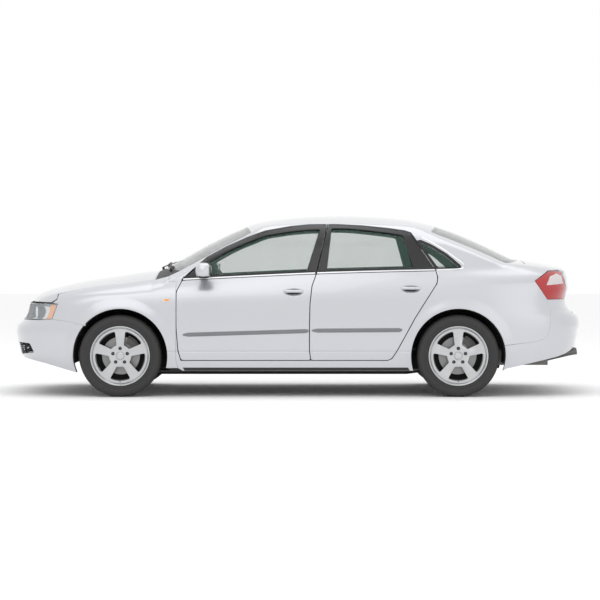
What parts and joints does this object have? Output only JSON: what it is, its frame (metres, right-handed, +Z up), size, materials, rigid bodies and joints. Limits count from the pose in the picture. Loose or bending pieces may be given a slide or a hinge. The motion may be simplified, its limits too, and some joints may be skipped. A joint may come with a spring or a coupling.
{
  "type": "four-door sedan car",
  "caption": "Silver four-door sedan car with turning and steered alloy wheels, opening doors, bonnet and boot lid, and a furnished hollow cabin.",
  "frame": {"origin": "on the ground, under the middle of the car", "axes": "+X towards the rear, +Y towards the right side of the car, +Z up; the car faces -X"},
  "size_m": [4.546, 2.02, 1.4294],
  "materials": {
    "paint": "pearl silver lacquer",
    "black_plastic": "matt black",
    "underbody": "dark sealer",
    "cast_metal": "bare metal",
    "exhaust_steel": "brushed",
    "window_glass": "green tint",
    "lamp_glass": "clear",
    "red_lens": "red lens",
    "seat_cloth": "dark woven cloth",
    "trim": "soft touch",
    "alloy": "silver lacquer",
    "tyre": "rubber",
    "seal": "rubber"
  },
  "bodies": {
    "body": {"floor_pan": "underbody", "bulkheads": "underbody", "body_side_left": "paint", "body_side_right": "paint", "roof_panel": "paint", "fenders": "paint", "front_bumper": "paint", "rear_bumper": "paint", "grilles": "black_plastic", "headlamps": "lamp_glass", "tail_lamps": "red_lens", "windscreen": "window_glass", "rear_window": "window_glass", "quarter_windows": "window_glass", "rear_deck": "paint", "cowl_panel": "black_plastic", "wheel_liners": "black_plastic", "dashboard": "trim", "steering_wheel": "trim", "front_seats": "seat_cloth", "rear_seat": "seat_cloth", "engine_block": "cast_metal", "front_subframe": "underbody", "rear_subframe": "underbody", "exhaust": "exhaust_steel", "fuel_tank": "underbody", "wipers": "black_plastic", "door_seals": "seal"},
    "bonnet": {"bonnet": "paint"},
    "boot_lid": {"boot_lid": "paint"},
    "front_door_left": {"front_door_left": "paint", "front_glass_left": "window_glass", "mirror_left": "paint"},
    "rear_door_left": {"rear_door_left": "paint", "rear_glass_left": "window_glass"},
    "knuckle_left": {"knuckle_left": "cast_metal"},
    "front_wheel_left": {"front_wheel_left": "alloy", "front_tyre_left": "tyre"},
    "rear_wheel_left": {"rear_wheel_left": "alloy", "rear_tyre_left": "tyre"},
    "front_door_right": {"front_door_right": "paint", "front_glass_right": "window_glass", "mirror_right": "paint"},
    "rear_door_right": {"rear_door_right": "paint", "rear_glass_right": "window_glass"},
    "knuckle_right": {"knuckle_right": "cast_metal"},
    "front_wheel_right": {"front_wheel_right": "alloy", "front_tyre_right": "tyre"},
    "rear_wheel_right": {"rear_wheel_right": "alloy", "rear_tyre_right": "tyre"}
  },
  "joints": [
    {"name": "steer_left", "type": "hinge", "parent": "body", "child": "knuckle_left", "pos_m": [-1.3895, -0.715, 0.3215], "axis": [0, 0, 1], "range_deg": [-32, 32]},
    {"name": "steer_right", "type": "hinge", "parent": "body", "child": "knuckle_right", "pos_m": [-1.3895, 0.715, 0.3215], "axis": [0, 0, 1], "range_deg": [-32, 32]},
    {"name": "front_wheel_spin_left", "type": "hinge", "parent": "knuckle_left", "child": "front_wheel_left", "pos_m": [-1.3895, -0.76, 0.3215], "axis": [0, 1, 0], "continuous": true},
    {"name": "front_wheel_spin_right", "type": "hinge", "parent": "knuckle_right", "child": "front_wheel_right", "pos_m": [-1.3895, 0.76, 0.3215], "axis": [0, 1, 0], "continuous": true},
    {"name": "rear_wheel_spin_left", "type": "hinge", "parent": "body", "child": "rear_wheel_left", "pos_m": [1.2605, -0.76, 0.3215], "axis": [0, 1, 0], "continuous": true},
    {"name": "rear_wheel_spin_right", "type": "hinge", "parent": "body", "child": "rear_wheel_right", "pos_m": [1.2605, 0.76, 0.3215], "axis": [0, 1, 0], "continuous": true},
    {"name": "front_door_hinge_left", "type": "hinge", "parent": "body", "child": "front_door_left", "pos_m": [-0.95, -0.884, 0.6], "axis": [0, 0, -1], "range_deg": [0, 65]},
    {"name": "front_door_hinge_right", "type": "hinge", "parent": "body", "child": "front_door_right", "pos_m": [-0.95, 0.884, 0.6], "axis": [0, 0, 1], "range_deg": [0, 65]},
    {"name": "rear_door_hinge_left", "type": "hinge", "parent": "body", "child": "rear_door_left", "pos_m": [0.095, -0.884, 0.6], "axis": [0, 0, -1], "range_deg": [0, 65]},
    {"name": "rear_door_hinge_right", "type": "hinge", "parent": "body", "child": "rear_door_right", "pos_m": [0.095, 0.884, 0.6], "axis": [0, 0, 1], "range_deg": [0, 65]},
    {"name": "bonnet_hinge", "type": "hinge", "parent": "body", "child": "bonnet", "pos_m": [-1.122, 0, 0.99], "axis": [0, 1, 0], "range_deg": [0, 50]},
    {"name": "boot_hinge", "type": "hinge", "parent": "body", "child": "boot_lid", "pos_m": [1.812, 0, 1.074], "axis": [0, -1, 0], "range_deg": [0, 80]}
  ],
  "couplings": [
    {"joint": "steer_right", "follows": "steer_left", "ratio": 1}
  ]
}
